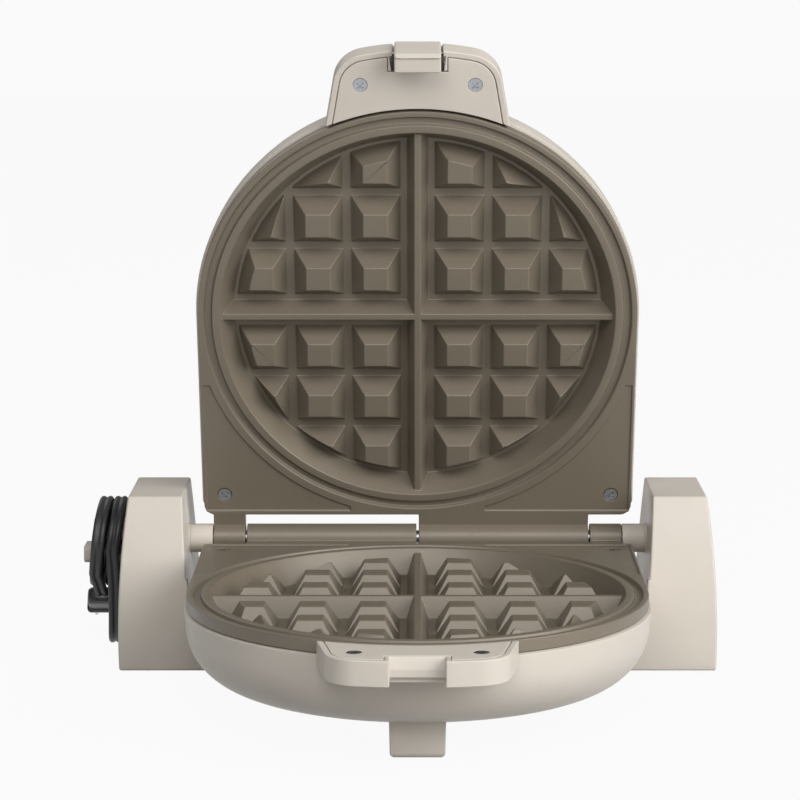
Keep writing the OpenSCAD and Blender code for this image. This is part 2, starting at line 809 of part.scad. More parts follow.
// Drawn in the lid's own half frame, where its outer side is below the parting plane
module latch_shape() {
    color(shell_colour)
    difference() {
        union() {
            side_extrude(-latch_w, latch_w) mirror([0, 1]) latch_section();
            translate([0, -latch_pin_f, -latch_pin_z]) bar(latch_knuckle_r, -latch_knuckle_w, latch_knuckle_w);
            translate([-latch_knuckle_w, -latch_end_f + latch_t / 2, -latch_pin_z - latch_knuckle_r])
                cube([2 * latch_knuckle_w, latch_end_f - latch_pin_f - latch_t / 2, 2 * latch_knuckle_r]);
        }
        translate([0, -latch_pin_f, -latch_pin_z]) bar(latch_pin_r + running_gap, -big / 2, big / 2);
    }
}

module latch_pin_shape() {
    color(steel_colour)
    translate([0, -latch_pin_f, -latch_pin_z]) bar(latch_pin_r, -latch_pin_w + 0.2, latch_pin_w - 0.2);
}

module latch_springs_shape() {
    wire_r = 0.45;
    color(steel_colour)
    translate([0, -latch_pin_f, -latch_pin_z])
        for (side = [-1, 1], turn = [0:3])
            translate([side * (latch_knuckle_w + 1 + turn * 1.05), 0, 0])
                rotate([0, 90, 0]) rotate_extrude() translate([latch_pin_r + 0.1 + wire_r, 0]) circle(r = wire_r, $fn = 16);
}

// ---------- stand ----------

module tower_side(inset) {
    r = tower_front_r - inset;
    intersection() {
        translate([tower_foot_d - tower_front_r, tower_front_cz]) circle(r = r, $fn = 360);
        translate([-tower_foot_d + tower_front_r, tower_front_cz]) circle(r = r, $fn = 360);
        translate([-big / 2, foot_h]) square([big, tower_top - foot_h - inset]);
    }
}

// The tower seen from the front, on the right-hand side
module tower_front(inset) {
    intersection() {
        polygon([[tower_in_low + inset, 0], [tower_in_low + inset, tower_low_z],
            [tower_in + inset, hinge_h], [tower_in_top + inset, tower_top],
            [2 * tower_out, tower_top], [2 * tower_out, 0]]);
        translate([tower_out - tower_side_r, tower_side_cz]) circle(r = tower_side_r - inset, $fn = 720);
    }
}

module tower_body(inset) {
    intersection() {
        front_extrude(-big / 2, big / 2) tower_front(inset);
        side_extrude(0, big) tower_side(inset);
    }
}

// The curved web that carries a tower's front face down to the tie rail
module gusset() {
    intersection() {
        front_extrude(rail_front - rail_t, tower_foot_d + 1)
            difference() {
                polygon([[gusset_end, foot_h], [tower_in_low + 1, foot_h], [tower_in_low + 1, gusset_z],
                    [gusset_end, gusset_z]]);
                translate([gusset_end, gusset_z]) circle(r = gusset_r, $fn = 180);
            }
        side_extrude(0, big) tower_side(0);
    }
}

module at_base_bosses() {
    for (side = [-1, 1])
        translate([tower_mid, side * base_boss_f, foot_h]) children();
}

module at_feet() {
    for (side = [-1, 1])
        translate([tower_mid, side * foot_f, 0]) children();
}

module at_axle() {
    translate([0, 0, hinge_h]) children();
}

module tower_housing() {
    difference() {
        union() {
            difference() {
                tower_body(0);
                tower_hollow();
            }
            gusset();
            intersection() {
                union() {
                    at_base_bosses() {
                        translate([0, 0, base_plate_t + joint_gap]) cylinder(r = boss_r, h = base_boss_h);
                    }
                    for (side = [-1, 1])
                        translate([tower_mid - 1.2, side > 0 ? base_boss_f : -base_boss_f - 20,
                            foot_h + base_plate_t + joint_gap])
                            cube([2.4, 20, base_boss_h]);
                    at_axle() bar(bushing_r + 2.5, tower_in + tower_wall - 1, axle_boss_out);
                }
                tower_body(tower_wall / 2);
            }
        }
        at_base_bosses() cylinder(r = screw_r + running_gap, h = base_boss_h - 2);
        at_axle() bar(bushing_r + running_gap, tower_in - 5, bushing_out + joint_gap);
        at_axle() bar(axle_r + running_gap, tower_in - 5, axle_boss_out + 1);
        translate([0, -rail_mid_f, foot_h + rail_h / 2])
            bar(dowel_r + running_gap, gusset_end - 1, gusset_end + dowel_half + 0.5);
    }
}

// The hollow inside a tower, open at the bottom
module tower_hollow() {
    intersection() {
        front_extrude(-big / 2, big / 2) tower_front(tower_wall);
        side_extrude(0, big) union() {
            tower_side(tower_wall);
            translate([0, -1]) tower_side(tower_wall);
        }
    }
}

module left_tower_housing() {
    color(shell_colour)
    difference() {
        mirror([1, 0, 0]) tower_housing();
        // Seat of the cord wrap, and the way in for the cord
        translate([-big, 0, wrap_z]) bar(wrap_flange_r + joint_gap, 0, big - wrap_seat_x);
        translate([0, relief_y + relief_len - 5, relief_z])
            bar(relief_neck_r + joint_gap, -big / 2, -tower_out + 8);
    }
}

module right_tower_housing() {
    color(shell_colour) tower_housing();
}

module tie_rail() {
    color(shell_colour)
    difference() {
        translate([-gusset_end + joint_gap, -rail_front, foot_h])
            cube([2 * (gusset_end - joint_gap), rail_t, rail_h]);
        at_dowels() bar(dowel_r + running_gap, -dowel_half - 0.5, 1);
    }
}

module at_dowels() {
    both_sides()
        translate([gusset_end, -rail_mid_f, foot_h + rail_h / 2]) children();
}

module rail_dowels() {
    color(steel_colour) at_dowels() bar(dowel_r, -dowel_half, dowel_half);
}

module base_plate() {
    difference() {
        intersection() {
            front_extrude(-big / 2, big / 2) tower_front(tower_wall + joint_gap);
            side_extrude(0, big) intersection() {
                tower_side(tower_wall + joint_gap);
                translate([-big / 2, foot_h]) square([big, base_plate_t]);
            }
        }
        at_base_bosses() translate([0, 0, -1]) {
            cylinder(r = screw_r + running_gap, h = 10);
            cylinder(r = screw_head_r + running_gap, h = 1 + screw_head_h + 0.2);
        }
        at_feet() cylinder(r = foot_stud_r + running_gap, h = 20);
    }
}

module left_base_plate() {
    color(shell_colour) mirror([1, 0, 0]) base_plate();
}

module right_base_plate() {
    color(shell_colour) base_plate();
}

module base_feet() {
    color(rubber_colour)
    both_sides() at_feet() {
        cylinder(r = foot_r, h = foot_h);
        cylinder(r = foot_stud_r, h = foot_h + base_plate_t);
    }
    color(rubber_colour)
    translate([-rail_pad[0] / 2, -rail_mid_f - rail_pad[1] / 2, 0]) cube([rail_pad[0], rail_pad[1], foot_h]);
}

module base_screws() {
    color(steel_colour)
    both_sides() at_base_bosses() translate([0, 0, 0.2]) rotate([180, 0, 0])
        screw(base_screw_len);
}

module hinge_axle() {
    color(steel_colour)
    at_axle() difference() {
        bar(axle_r, -axle_half, axle_half);
        bar(axle_bore_r, -axle_half - 1, axle_half + 1);
    }
}

module axle_clips() {
    color(steel_colour)
    both_sides() at_axle() difference() {
        bar(axle_r + 3, axle_boss_out + joint_gap, axle_boss_out + joint_gap + clip_t);
        bar(axle_r + running_gap, 0, big);
    }
}

module pivot_sleeves() {
    color(shell_colour)
    both_sides() at_axle() difference() {
        bar(knuckle_r, sleeve_in, bushing_in - eps);
        bar(axle_r + running_gap, 0, big);
    }
}

module pivot_bushings() {
    color(shell_colour)
    both_sides() at_axle() difference() {
        bar(bushing_r, bushing_in, bushing_out);
        bar(axle_r + running_gap, 0, big);
    }
}

module cord_wrap() {
    color(shell_colour)
    translate([0, 0, wrap_z]) {
        bar(wrap_flange_r, -wrap_flange_out, -wrap_seat_x);
        difference() {
            bar(core_r, -wrap_end_x, -wrap_flange_out + eps);
            // Slot that the cord passes through
            translate([-wrap_end_x - 1, -big / 2, -wrap_slot / 2])
                cube([wrap_end_x - wrap_flange_out - 0.5 + 1, big, wrap_slot]);
        }
        // Retaining tab at the end of the lower prong
        translate([-wrap_knob_x, 0, -wrap_tab_drop])
            rotate([0, 90, 0]) rounded_box([wrap_tab[0], wrap_tab[1], wrap_knob_x - wrap_end_x + eps], 3);
    }
}

module terminal_block() {
    color("#e6e2da")
    translate([-tower_mid, 0, foot_h + base_plate_t + joint_gap])
        difference() {
            translate([-terminal_w / 2, -terminal_d / 2, 0]) cube([terminal_w, terminal_d, terminal_h]);
            for (side = [-1, 1])
                translate([side * terminal_w * 0.28, 0, terminal_h / 3]) {
                    cylinder(r = 1.6, h = terminal_h);
                    rotate([90, 0, 0]) cylinder(r = 1.4, h = terminal_d + 2, center = true);
                }
        }
}

// ---------- cord ----------

module strain_relief() {
    color(black_colour) {
        hull() {
            translate([-relief_x, relief_y + eps, relief_z]) rotate([90, 0, 0])
                linear_extrude(eps) flat_oval(cord_w + 1, cord_t + 1);
            translate([-relief_x, relief_y + relief_len, relief_z]) rotate([90, 0, 0])
                linear_extrude(eps) flat_oval(cord_w + 2.4, cord_t + 5);
        }
        translate([0, relief_y + relief_len - 5, relief_z]) bar(relief_neck_r, -relief_x, -tower_out + 4.5);
    }
}

module flat_oval(w, h) {
    square([w - h, h], center = true);
    for (side = [-1, 1]) translate([side * (w - h) / 2, 0]) circle(r = h / 2, $fn = 32);
}

// One ring of a flat cord at point i: its wide way lies along X
ring_sides = 10;
function route_dir(pts, i) =
    unit(pts[min(i + 1, len(pts) - 1)] - pts[max(i - 1, 0)]);
function ring(pts, i, w, t) =
    let (d = route_dir(pts, i), side = unit([1, 0, 0] - d[0] * d), up = cross(side, d))
    [for (k = [0:ring_sides - 1])
        let (a = 360 * k / ring_sides)
        pts[i] + side * w / 2 * cos(a) + up * t / 2 * sin(a) * 1.05];

module flat_tube(pts, w, t) {
    n = len(pts);
    m = ring_sides;
    polyhedron(
        points = [for (i = [0:n - 1]) each ring(pts, i, w, t)],
        faces = concat(
            [[for (k = [0:m - 1]) k]],
            [for (i = [0:n - 2], k = [0:m - 1])
                [i * m + k, (i + 1) * m + k, (i + 1) * m + (k + 1) % m, i * m + (k + 1) % m]],
            [[for (k = [m - 1:-1:0]) (n - 1) * m + k]]));
}

module cord_run() {
    color(black_colour) flat_tube(run_points, cord_w, cord_t);
}

module cord_tail() {
    color(black_colour) flat_tube(tail_points, cord_w, cord_t);
}

module cord_coil() {
    color(black_colour)
    translate([0, 0, wrap_z])
        difference() {
            bar(coil_r, -coil_out_x, -coil_in_x);
            bar(core_r + joint_gap, -coil_out_x - 1, -coil_in_x + 1);
        }
}

module at_plug() {
    translate(plug_at) rotate([-plug_turn, 0, 0]) children();
}

module plug_body() {
    body_w = plug_w - 2 * plug_edge;
    body_h = plug_h - 2 * plug_edge;
    color(black_colour)
    at_plug() {
        translate([0, plug_len, 0]) rotate([90, 0, 0])
            translate([-plug_w / 2, -plug_h / 2, 0]) linear_extrude(plug_flange)
                rounded_outline([[0, 0], [plug_w, 0], [plug_w, plug_h], [0, plug_h]], [2, 2, 2, 2]);
        hull() {
            translate([0, plug_len - plug_flange + eps, 0]) rotate([90, 0, 0])
                linear_extrude(1) square([body_w, body_h], center = true);
            translate([0, plug_shoulder, 0]) rotate([90, 0, 0])
                linear_extrude(1) square([body_w - 1, body_h - 1], center = true);
            translate([0, eps, 0]) rotate([90, 0, 0])
                linear_extrude(eps) flat_oval(cord_w + 2, cord_t + 2);
        }
    }
}

module plug_blades() {
    color(steel_colour)
    at_plug()
        for (side = [-1, 1])
            translate([side * blade_pitch / 2 - blade_t / 2, plug_len, -blade_w / 2])
                cube([blade_t, blade_len, blade_w]);
}

// ---------- place on the floor ----------

// Every piece is drawn with the hinge axis straight above x = 0, y = 0
module placed() {
    translate([0, rail_mid_f, 0]) children();
}

// ---------- the two halves ----------

module lower_grid_plate() { in_lower() grid_plate(); }
module lower_housing() { in_lower() housing(); }
module lower_front_foot() { in_lower() front_foot(); }
module lower_handle_body() { in_lower() color(shell_colour) lower_handle_shape(); }
module lower_handle_cover() { in_lower() handle_cover(); }
module lower_screws() { in_lower() half_screws(); }
module lower_heater() { in_lower() heater(); }
module lower_reflector() { in_lower() reflector(); }
module lower_thermostat() { in_lower() thermostat(); }

module lid_grid_plate() { in_lid() grid_plate(); }
module lid_housing() { in_lid() housing(); }
module lid_front_foot() { in_lid() front_foot(); }
module lid_handle_body() { in_lid() color(shell_colour) lid_handle_shape(); }
module lid_handle_cover() { in_lid() handle_cover(); }
module lid_screws() { in_lid() half_screws(); }
module lid_heater() { in_lid() heater(); }
module lid_reflector() { in_lid() reflector(); }
module lid_thermostat() { in_lid() thermostat(); }
module latch() { in_lid() latch_shape(); }
module latch_pin() { in_lid() latch_pin_shape(); }
module latch_springs() { in_lid() latch_springs_shape(); }

placed() left_tower_housing();
placed() right_tower_housing();
placed() tie_rail();
placed() rail_dowels();
placed() left_base_plate();
placed() right_base_plate();
placed() base_feet();
placed() base_screws();
placed() hinge_axle();
placed() axle_clips();
placed() pivot_sleeves();
placed() pivot_bushings();
placed() cord_wrap();
placed() terminal_block();
placed() strain_relief();
placed() cord_run();
placed() cord_coil();
placed() cord_tail();
placed() plug_body();
placed() plug_blades();
placed() lower_grid_plate();
placed() lower_housing();
placed() lower_front_foot();
placed() lower_handle_body();
placed() lower_handle_cover();
placed() lower_screws();
placed() lower_heater();
placed() lower_reflector();
placed() lower_thermostat();
placed() lid_grid_plate();
placed() lid_housing();
placed() lid_front_foot();
placed() lid_handle_body();
placed() lid_handle_cover();
placed() lid_screws();
placed() lid_heater();
placed() lid_reflector();
placed() lid_thermostat();
placed() latch();
placed() latch_pin();
placed() latch_springs();
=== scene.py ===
"""Open flip waffle maker: the looks of its mouldings, cast plates, steel parts and wound cord.

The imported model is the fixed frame. Every moulding is redrawn from it with rounded
edges, the cord is wound turn by turn, and each finish is built from nodes.
"""

from __future__ import annotations

import json
import logging
import math
from dataclasses import dataclass, field
from enum import Enum

import bmesh
import bpy
from mathutils import Matrix, Vector

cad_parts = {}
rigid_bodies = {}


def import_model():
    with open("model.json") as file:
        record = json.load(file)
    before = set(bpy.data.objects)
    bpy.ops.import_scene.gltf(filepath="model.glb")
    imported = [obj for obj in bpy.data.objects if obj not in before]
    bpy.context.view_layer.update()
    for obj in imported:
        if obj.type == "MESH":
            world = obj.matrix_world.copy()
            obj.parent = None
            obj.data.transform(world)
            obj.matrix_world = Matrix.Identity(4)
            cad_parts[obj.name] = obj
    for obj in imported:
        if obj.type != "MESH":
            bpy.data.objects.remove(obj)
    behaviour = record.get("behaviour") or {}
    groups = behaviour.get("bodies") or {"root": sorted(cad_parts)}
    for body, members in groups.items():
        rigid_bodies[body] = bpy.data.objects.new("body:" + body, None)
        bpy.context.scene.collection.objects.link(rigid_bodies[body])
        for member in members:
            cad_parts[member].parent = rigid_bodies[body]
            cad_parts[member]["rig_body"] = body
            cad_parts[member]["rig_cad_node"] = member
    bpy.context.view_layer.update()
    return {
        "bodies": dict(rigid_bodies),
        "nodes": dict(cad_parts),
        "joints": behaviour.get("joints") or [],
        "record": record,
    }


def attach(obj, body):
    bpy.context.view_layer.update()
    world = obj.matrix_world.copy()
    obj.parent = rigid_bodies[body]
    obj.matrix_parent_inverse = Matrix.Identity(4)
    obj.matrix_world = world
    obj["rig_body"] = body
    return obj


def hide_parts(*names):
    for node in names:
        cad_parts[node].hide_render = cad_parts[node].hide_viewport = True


log = logging.getLogger("waffle_maker")
MM = 0.001
# The table point below the hinge axis, in mm: the cord and its pieces are placed from here
HINGE_LINE = Vector((0.0, 44.2, 0.0))
# Points of a frame node that are closer than this are one point, in metres
WELD = 2e-6
# The largest turn within a patch that counts as flat, in degrees
FLAT_WITHIN = 0.6
# Edges of a moulding that turn more than this are rounded, in degrees
ROUND_ABOVE = 32.0
# Strips in a rounded edge
ROUND_STRIPS = 2
# Edges of a rounded moulding that turn less than this are shaded smooth, in degrees
SMOOTH_BELOW = 34.0
# How strongly the large faces of a moulding hold their shading flat
FACE_WEIGHT = 60

Colour = tuple[float, float, float, float]
Point = tuple[float, float, float]
Span = tuple[float, float]


def linear(code: str) -> Colour:
    """Turns a hex colour into linear light.

    Args:
        code: Six hex digits, as a paint chart writes them.

    Returns:
        Red, green, blue and a full alpha.
    """
    levels = [int(code[i : i + 2], 16) / 255 for i in (0, 2, 4)]
    light = [c / 12.92 if c <= 0.04045 else ((c + 0.055) / 1.055) ** 2.4 for c in levels]
    return (light[0], light[1], light[2], 1.0)


def toned(colour: Colour, factor: float, lift: float = 0.0) -> Colour:
    """A colour made lighter or darker.

    Args:
        colour: The colour, in linear light.
        factor: What its levels are multiplied by.
        lift: What is added to them.

    Returns:
        The new colour, with a full alpha.
    """
    red, green, blue = (min(1.0, level * factor + lift) for level in colour[:3])
    return (red, green, blue, 1.0)


# ---------------------------------------------------------------- shader kit


class Value:
    """A shader socket that adds Math nodes when it is used in a sum or a product."""

    def __init__(self, shader: "Shader", socket: bpy.types.NodeSocket) -> None:
        """Keeps the tree and the socket."""
        self.shader = shader
        self.socket = socket

    def _math(self, operation: str, first: object, second: object) -> "Value":
        """Adds one Math node and gives its result."""
        return self.shader.add("ShaderNodeMath", {"operation": operation}, {0: first, 1: second})

    def __add__(self, other: object) -> "Value":
        """self + other."""
        return self._math("ADD", self, other)

    def __radd__(self, other: object) -> "Value":
        """other + self."""
        return self._math("ADD", other, self)

    def __mul__(self, other: object) -> "Value":
        """self * other."""
        return self._math("MULTIPLY", self, other)

    def __rmul__(self, other: object) -> "Value":
        """other * self."""
        return self._math("MULTIPLY", other, self)

    def around(self, middle: float, span: Span) -> "Value":
        """Stretches a 0 to 1 value onto a span about a middle."""
        low, high = span
        return (middle + low) + (high - low) * self


class Shader:
    """One material's node tree, made a node at a time."""

    noise_roughness = 0.55

    def __init__(self, name: str) -> None:
        """Starts an empty tree with its output."""
        self.material = bpy.data.materials.new(name)
        self.material.use_nodes = True
        self.tree = self.material.node_tree
        self.tree.nodes.clear()
        self.output = self.tree.nodes.new("ShaderNodeOutputMaterial")

    def add(
        self,
        kind: str,
        settings: dict[str, object] | None = None,
        sockets: dict[object, object] | None = None,
        out: object = 0,
    ) -> Value:
        """Adds a node of any type.

        Args:
            kind: The node's type name.
            settings: Its properties, set first. "stops" holds a ramp's (place, colour) pairs.
            sockets: Plain values or links for its inputs, by name or number.
            out: Which output the result stands for.

        Returns:
            The chosen output.
        """
        node = self.tree.nodes.new(kind)
        for key, value in (settings or {}).items():
            if key == "stops":
                self._stops(node, value)
            else:
                setattr(node, key, value)
        for key, value in (sockets or {}).items():
            if isinstance(value, Value):
                self.tree.links.new(value.socket, node.inputs[key])
            else:
                node.inputs[key].default_value = value
        return Value(self, node.outputs[out])

    @staticmethod
    def _stops(node: bpy.types.Node, stops: object) -> None:
        """Sets a colour ramp's stops."""
        ramp = node.color_ramp.elements
        for i, (place, colour) in enumerate(stops):
            stop = ramp[i] if i < 2 else ramp.new(place)
            stop.position = place
            stop.color = colour

    def places(self) -> Value:
        """Coordinates in metres that stay with the piece."""
        return self.add("ShaderNodeTexCoord", out="Object")

    def noise(self, grain: float, detail: float = 2.0, stretch: Point | None = None) -> Value:
        """Soft noise.

        Args:
            grain: Size of its features, in metres.
            detail: How many finer layers it has.
            stretch: How much finer it is along each axis.

        Returns:
            The noise, around a half.
        """
        at = self.places()
        if stretch is not None:
            at = self.add("ShaderNodeMapping", {}, {"Vector": at, "Scale": stretch})
        sockets = {"Vector": at, "Scale": 1 / grain, "Detail": detail, "Roughness": self.noise_roughness}
        return self.add("ShaderNodeTexNoise", {}, sockets)

    def blend(self, share: object, first: object, second: object) -> Value:
        """Mixes two colours by a share."""
        return self.add("ShaderNodeMix", {"data_type": "RGBA"}, {0: share, 6: first, 7: second}, out=2)

    def bump(self, height: object, depth: float) -> Value:
        """Turns a height into a normal.

        Args:
            height: The height, 0 to 1.
            depth: How deep a full height is, in metres.

        Returns:
            The normal.
        """
        return self.add("ShaderNodeBump", {}, {"Strength": 1.0, "Distance": depth, "Height": height})

    def surface(self, **sockets: object) -> bpy.types.Material:
        """Ends the tree in one Principled surface.

        Args:
            **sockets: Its inputs, with _ for a space.

        Returns:
            The finished material.
        """
        named = {key.replace("_", " "): value for key, value in sockets.items()}
        result = self.add("ShaderNodeBsdfPrincipled", {}, named)
        self.tree.links.new(result.socket, self.output.inputs["Surface"])
        return self.material


# ---------------------------------------------------------------- finishes


@dataclass(frozen=True)
class MouldedPlastic:
    """Satin moulded plastic with a fine spark-eroded grain."""

    name: str
    colour: str
    roughness: float = 0.40
    grain: float = 0.00035
    grain_depth: float = 0.000012
    mottle: float = 0.05
    cloud_size: float = 0.03
    cloud_sheen: Span = (-0.05, 0.06)  # what the clouds and the grain add to the roughness
    grain_sheen: Span = (-0.03, 0.03)
    index: float = 1.47
    gloss: float = 0.3

    def dress(self) -> bpy.types.Material:
        """Builds the material."""
        s = Shader(self.name)
        base = linear(self.colour)
        cloud = s.noise(self.cloud_size, detail=3.0)
        fine = s.noise(self.grain)
        colour = s.blend(cloud, base, toned(base, 1 - 2 * self.mottle))
        return s.surface(
            Base_Color=colour,
            Roughness=cloud.around(self.roughness, self.cloud_sheen) + fine.around(0.0, self.grain_sheen),
            Normal=s.bump(fine, self.grain_depth),
            IOR=self.index,
            Specular_IOR_Level=self.gloss,
        )


@dataclass(frozen=True)
class CastCoating:
    """Die-cast aluminium under a satin non-stick coating."""

    name: str
    colour: str
    roughness: float = 0.40
    metal: float = 0.12
    cloud_size: float = 0.022
    cloud_tone: float = 0.90
    cloud_sheen: Span = (-0.05, 0.05)  # what the clouds and the peel add to the roughness
    peel_size: float = 0.0011
    peel_sheen: Span = (-0.04, 0.04)
    peel_depth: float = 0.00002
    peel_share: float = 0.7  # the peel's share of the relief; the rest is the flecks'
    # The flecks' size, paleness and spread: partly the coating's own speckle, partly painted glints of light
    fleck_and_glint_size: float = 0.00022
    fleck_and_glint_tone: float = 1.30
    fleck_and_glint_range: Span = (0.60, 0.74)  # from no fleck to a full one

    def dress(self) -> bpy.types.Material:
        """Builds the material: orange peel all over, with paler flecks where the fine noise peaks, partly
        the coating's own speckle and partly painted glints of light.
        """
        s = Shader(self.name)
        base = linear(self.colour)
        cloud = s.noise(self.cloud_size, detail=3.0)
        peel = s.noise(self.peel_size)
        fleck_glint_noise = s.noise(self.fleck_and_glint_size, detail=1.0)
        none, full = self.fleck_and_glint_range
        stops = [(none, (0, 0, 0, 1)), (full, (1, 1, 1, 1))]
        # Painted glints: where the fine noise peaks, the coating's colour turns paler, partly its own
        # speckle
        glints = s.add("ShaderNodeValToRGB", {"stops": stops}, {0: fleck_glint_noise})
        clouded = s.blend(cloud, base, toned(base, self.cloud_tone))
        return s.surface(
            # The base colour carries the painted glints on top of the clouds
            Base_Color=s.blend(glints, clouded, toned(base, self.fleck_and_glint_tone)),
            Roughness=cloud.around(self.roughness, self.cloud_sheen) + peel.around(0.0, self.peel_sheen),
            Metallic=self.metal,
            Normal=s.bump(peel * self.peel_share + fleck_glint_noise * (1 - self.peel_share), self.peel_depth),
        )


@dataclass(frozen=True)
class Steel:
    """Plated steel with faint brushing."""

    name: str
    colour: str
    roughness: float = 0.3
    brush: Point = (1.0, 1.0, 12.0)
    brush_size: float = 0.0012
    brush_depth: float = 0.000008
    brush_sheen: Span = (-0.06, 0.1)  # what the brushing adds to the roughness
    spot_size: float = 0.004
    spot_tone: float = 0.8

    def dress(self) -> bpy.types.Material:
        """Builds the material."""
        s = Shader(self.name)
        base = linear(self.colour)
        lines = s.noise(self.brush_size, detail=3.0, stretch=self.brush)
        spots = s.noise(self.spot_size)
        return s.surface(
            Base_Color=s.blend(spots, base, toned(base, self.spot_tone)),
            Roughness=lines.around(self.roughness, self.brush_sheen),
            Metallic=1.0,
            Normal=s.bump(lines, self.brush_depth),
        )


@dataclass(frozen=True)
class Vinyl:
    """Soft black vinyl, as on a cord, a plug or a rubber foot."""

    name: str
    colour: str
    roughness: float = 0.42
    grain: float = 0.0006
    grain_depth: float = 0.00002
    cloud_size: float = 0.012
    cloud_sheen: Span = (-0.07, 0.08)  # what the clouds add to the roughness
    dust: Span = (1.5, 0.004)  # factor and lift of the dusty patches

    def dress(self) -> bpy.types.Material:
        """Builds the material, a little dusty in patches."""
        s = Shader(self.name)
        base = linear(self.colour)
        cloud = s.noise(self.cloud_size, detail=3.0)
        fine = s.noise(self.grain)
        return s.surface(
            Base_Color=s.blend(cloud, base, toned(base, *self.dust)),
            Roughness=cloud.around(self.roughness, self.cloud_sheen),
            Normal=s.bump(fine, self.grain_depth),
        )


@dataclass(frozen=True)
class White:
    """A white studio surface that keeps a light shadow."""

    name: str
    shade: float = 0.35
    glow_share: float = 0.94

    def dress(self) -> bpy.types.Material:
        """Builds the material: diffuse under the lamps, near white to the camera and to glossy rays."""
        s = Shader(self.name)
        seen = s.add("ShaderNodeLightPath", out="Is Camera Ray")
        glossy = s.add("ShaderNodeLightPath", out="Is Glossy Ray")
        diffuse = s.add("ShaderNodeBsdfDiffuse", {}, {"Color": (self.shade, self.shade, self.shade, 1)})
        glow = s.add("ShaderNodeEmission", {}, {"Color": (1, 1, 1, 1), "Strength": 1.0})
        share = (seen + glossy) * self.glow_share
        mixed = s.add("ShaderNodeMixShader", {}, {0: share, 1: diffuse, 2: glow})
        s.tree.links.new(mixed.socket, s.output.inputs["Surface"])
        return s.material


class Finish(Enum):
    """The finishes of the part, by the material slot that each belongs to."""

    HOUSING = ("housing", MouldedPlastic("greige_housing", "cbc3b8"))
    PLATE = ("plate", CastCoating("taupe_coating", "756c5e"))
    STEEL = ("steel", Steel("zinc_steel", "b9bcc0"))
    BLADES = ("plug_metal", Steel("nickel_blades", "c4c4c2", roughness=0.22))
    CORD = ("cord", Vinyl("cord_vinyl", "232325"))
    PLUG = ("plug", Vinyl("plug_vinyl", "1c1c1e", roughness=0.34, grain=0.0009))
    RUBBER = ("foot_rubber", Vinyl("foot_rubber", "2b2b2b", roughness=0.6))
    HEATER = ("heater", Steel("heater_steel", "77787c", roughness=0.45))
    REFLECTOR = ("reflector", Steel("reflector_sheet", "d0d1d2", roughness=0.25))
    CERAMIC = (
        "ceramic",
        MouldedPlastic(
            "white_steatite", "e6e2da", roughness=0.5, grain=0.0003, grain_depth=0.00001, mottle=0.02
        ),
    )

    @property
    def slot(self) -> str:
        """The record's slot name."""
        return self.value[0]


class Paintbox:
    """Keeps one built material for each finish."""

    def __init__(self) -> None:
        """Starts empty."""
        self.made: dict[Finish, bpy.types.Material] = {}

    def coat(self, piece: bpy.types.Object, finish: Finish) -> None:
        """Gives a piece its finish, in place of whatever it had."""
        if finish not in self.made:
            self.made[finish] = finish.value[1].dress()
        piece.data.materials.clear()
        piece.data.materials.append(self.made[finish])
        if piece.type == "MESH":
            piece.data.polygons.foreach_set("material_index", [0] * len(piece.data.polygons))


# ---------------------------------------------------------------- mesh kit


def new_piece(name: str, mesh: bpy.types.Mesh) -> bpy.types.Object:
    """Puts a mesh in the scene as a piece."""
    piece = bpy.data.objects.new(name, mesh)
    bpy.context.scene.collection.objects.link(piece)
    return piece


def smooth_by_angle(mesh: bpy.types.Mesh, degrees: float) -> None:
    """Shades a mesh smooth except across edges sharper than the angle."""
    mesh.polygons.foreach_set("use_smooth", [True] * len(mesh.polygons))
    mesh.set_sharp_from_angle(angle=math.radians(degrees))


def flat_patches(shape: bmesh.types.BMesh) -> list[list[bmesh.types.BMFace]]:
    """Groups neighbouring faces that lie level with each other.

    Args:
        shape: The mesh to look through.

    Returns:
        The groups of two or more faces.
    """
    limit = math.radians(FLAT_WITHIN)
    shape.faces.index_update()
    # A face without area has no normal and joins no patch
    waiting = {face.index for face in shape.faces if face.normal.length > 0.5}
    patches = []
    for seed in shape.faces:
        if seed.index not in waiting:
            continue
        waiting.remove(seed.index)
        patch, queue = [], [seed]
        while queue:
            face = queue.pop()
            patch.append(face)
            for other in (near for edge in face.edges for near in edge.link_faces):
                if other.index in waiting and other.normal.angle(seed.normal) < limit:
                    waiting.remove(other.index)
                    queue.append(other)
        if len(patch) > 1:
            patches.append(patch)
    return patches


def merge_flat_patches(shape: bmesh.types.BMesh) -> None:
    """Makes one face of each flat patch, and even triangles where a patch has holes."""
    merged, uneven = [], []
    for patch in flat_patches(shape):
        inside = set(patch)
        edges = {edge for face in patch for edge in face.edges}
        inner = [edge for edge in edges if all(face in inside for face in edge.link_faces)]
        corners = {corner for face in patch for corner in face.verts}
        if len(corners) - len(edges) + len(patch) == 1:
            merged.extend(inner)
        else:
            uneven.append((patch, inner))
    for patch, inner in uneven:
        bmesh.ops.beautify_fill(shape, faces=patch, edges=inner, method="ANGLE")
    bmesh.ops.dissolve_edges(shape, edges=merged, use_verts=False, use_face_split=False)


def apply_modifiers(piece: bpy.types.Object) -> None:
    """Turns a piece's modifiers into plain mesh."""
    old = piece.data
    graph = bpy.context.evaluated_depsgraph_get()
    done = bpy.data.meshes.new_from_object(piece.evaluated_get(graph))
    piece.modifiers.clear()
    piece.data = done
    bpy.data.meshes.remove(old)
    done.name = piece.name


